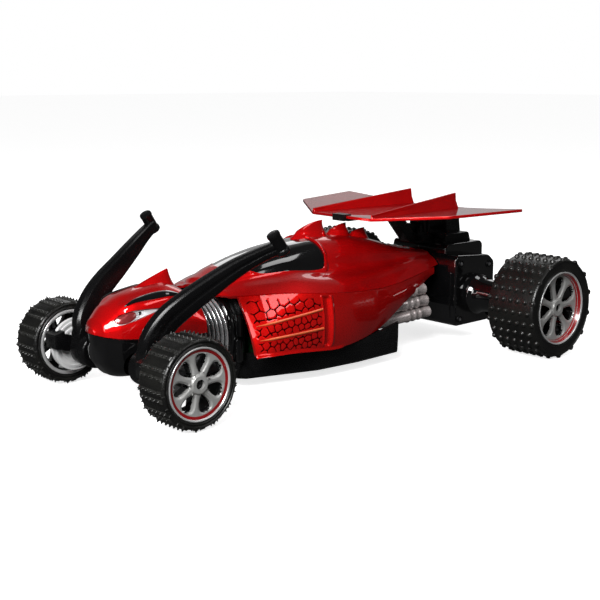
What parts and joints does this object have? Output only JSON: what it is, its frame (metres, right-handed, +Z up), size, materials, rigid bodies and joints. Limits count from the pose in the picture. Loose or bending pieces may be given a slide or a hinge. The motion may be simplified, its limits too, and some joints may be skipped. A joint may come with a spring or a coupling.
{
  "type": "rc stunt car",
  "caption": "Toy radio-controlled stunt car with a steering insect-like head, curved flip arms, knobbed tyres, a glossy body shell and a rear wing on a rolling axle pod.",
  "frame": {"origin": "on the ground under the middle of the bounding box", "axes": "+X forward, +Y to the car's left, +Z up"},
  "size_m": [0.3974, 0.2664, 0.1248],
  "materials": {
    "body_red": "metallic candy red, high gloss",
    "black_satin": "satin black",
    "black_gloss": "piano black, high gloss",
    "chrome_plate": "vacuum plated plastic",
    "rim_silver": "satin silver paint",
    "ring_red": "red band",
    "tyre_black": "soft knobbed rubber",
    "lens_clear": "clear moulded lens",
    "reflector": "plated reflector",
    "steel": "plain steel",
    "grey_bellows": "ribbed soft plastic",
    "gear_white": "natural acetal",
    "board_green": "circuit board",
    "cell_wrap": "plain wrapped cells",
    "motor_can": "motor can"
  },
  "bodies": {
    "chassis": {"chassis_tub": "black_satin", "battery_door": "black_satin", "battery_cells": "cell_wrap", "circuit_board": "board_green", "chassis_screws": "steel", "steering_servo": "black_satin", "neck_collar": "black_satin", "neck_rings": "chrome_plate", "rear_bellows": "grey_bellows", "body_shell": "body_red", "canopy": "black_gloss", "engine_trim": "chrome_plate", "left_side_pod": "body_red", "right_side_pod": "body_red", "left_exhaust": "chrome_plate", "right_exhaust": "chrome_plate"},
    "power_switch": {"power_switch": "black_satin"},
    "servo_pinion": {"servo_pinion": "gear_white"},
    "head": {"head_shell": "body_red", "eye_lenses": "lens_clear", "eye_reflectors": "reflector", "brow_trims": "black_gloss", "jaw_shell": "black_gloss", "head_frame": "black_satin", "kingpin": "steel", "front_axle": "steel", "left_knuckle": "black_satin", "right_knuckle": "black_satin", "arm_motor": "motor_can", "front_hub_screws": "steel"},
    "arm_pinion": {"arm_pinion": "gear_white"},
    "arm_idler": {"arm_idler": "gear_white"},
    "flip_arms": {"arm_shaft": "black_satin", "left_arm": "black_satin", "right_arm": "black_satin"},
    "front_left_wheel": {"left_front_rim": "rim_silver", "left_front_rim_ring": "ring_red", "left_front_tyre": "tyre_black", "left_brake_disc": "rim_silver"},
    "front_right_wheel": {"right_front_rim": "rim_silver", "right_front_rim_ring": "ring_red", "right_front_tyre": "tyre_black", "right_brake_disc": "rim_silver"},
    "rear_pod": {"left_gearbox_case": "black_satin", "right_gearbox_case": "black_satin", "drive_motor": "motor_can", "wing_tower": "black_satin", "wing_spine": "black_satin", "wing": "body_red"},
    "rear_wheels": {"rear_axle": "steel", "axle_gear": "gear_white", "left_rear_rim": "rim_silver", "right_rear_rim": "rim_silver", "rear_rim_rings": "ring_red", "left_rear_tyre": "tyre_black", "right_rear_tyre": "tyre_black", "rear_hub_screws": "steel"},
    "idler_gear": {"idler_gear": "gear_white"},
    "motor_pinion": {"motor_pinion": "gear_white"}
  },
  "joints": [
    {"name": "head_steer", "type": "hinge", "parent": "chassis", "child": "head", "pos_m": [0.105, 0, 0.042], "axis": [0, 0, 1], "range_deg": [-15, 15]},
    {"name": "servo_pinion_turn", "type": "hinge", "parent": "chassis", "child": "servo_pinion", "pos_m": [0.0936, 0, 0.03], "axis": [0, 0, 1], "range_deg": [-21, 21]},
    {"name": "power_switch_slide", "type": "slide", "parent": "chassis", "child": "power_switch", "axis": [1, 0, 0], "range_m": [-0.003, 0.003]},
    {"name": "arm_flip", "type": "hinge", "parent": "head", "child": "flip_arms", "pos_m": [0.16715, 0, 0.0315], "axis": [0, 1, 0], "range_deg": [0, 135]},
    {"name": "arm_idler_turn", "type": "hinge", "parent": "head", "child": "arm_idler", "pos_m": [0.15595, 0, 0.04148], "axis": [0, 1, 0], "range_deg": [-126, 1]},
    {"name": "arm_pinion_turn", "type": "hinge", "parent": "head", "child": "arm_pinion", "pos_m": [0.14795, 0, 0.0496], "axis": [0, 1, 0], "range_deg": [-1, 271]},
    {"name": "front_left_spin", "type": "hinge", "parent": "head", "child": "front_left_wheel", "pos_m": [0.16715, 0.0775, 0.0315], "axis": [0, 1, 0], "continuous": true},
    {"name": "front_right_spin", "type": "hinge", "parent": "head", "child": "front_right_wheel", "pos_m": [0.16715, -0.0775, 0.0315], "axis": [0, 1, 0], "continuous": true},
    {"name": "rear_pod_roll", "type": "hinge", "parent": "chassis", "child": "rear_pod", "pos_m": [-0.11, 0, 0.042], "axis": [1, 0, 0], "range_deg": [-12, 12]},
    {"name": "rear_axle_spin", "type": "hinge", "parent": "rear_pod", "child": "rear_wheels", "pos_m": [-0.15765, 0, 0.041], "axis": [0, 1, 0], "continuous": true},
    {"name": "idler_gear_spin", "type": "hinge", "parent": "rear_pod", "child": "idler_gear", "pos_m": [-0.15115, 0, 0.05518], "axis": [0, 1, 0], "continuous": true},
    {"name": "motor_pinion_spin", "type": "hinge", "parent": "rear_pod", "child": "motor_pinion", "pos_m": [-0.16265, 0, 0.05861], "axis": [0, 1, 0], "continuous": true}
  ],
  "couplings": [
    {"joint": "servo_pinion_turn", "follows": "head_steer", "ratio": -1.375},
    {"joint": "arm_idler_turn", "follows": "arm_flip", "ratio": -0.92308},
    {"joint": "arm_pinion_turn", "follows": "arm_flip", "ratio": 2},
    {"joint": "idler_gear_spin", "follows": "rear_axle_spin", "ratio": -3.3333},
    {"joint": "motor_pinion_spin", "follows": "rear_axle_spin", "ratio": 10}
  ]
}
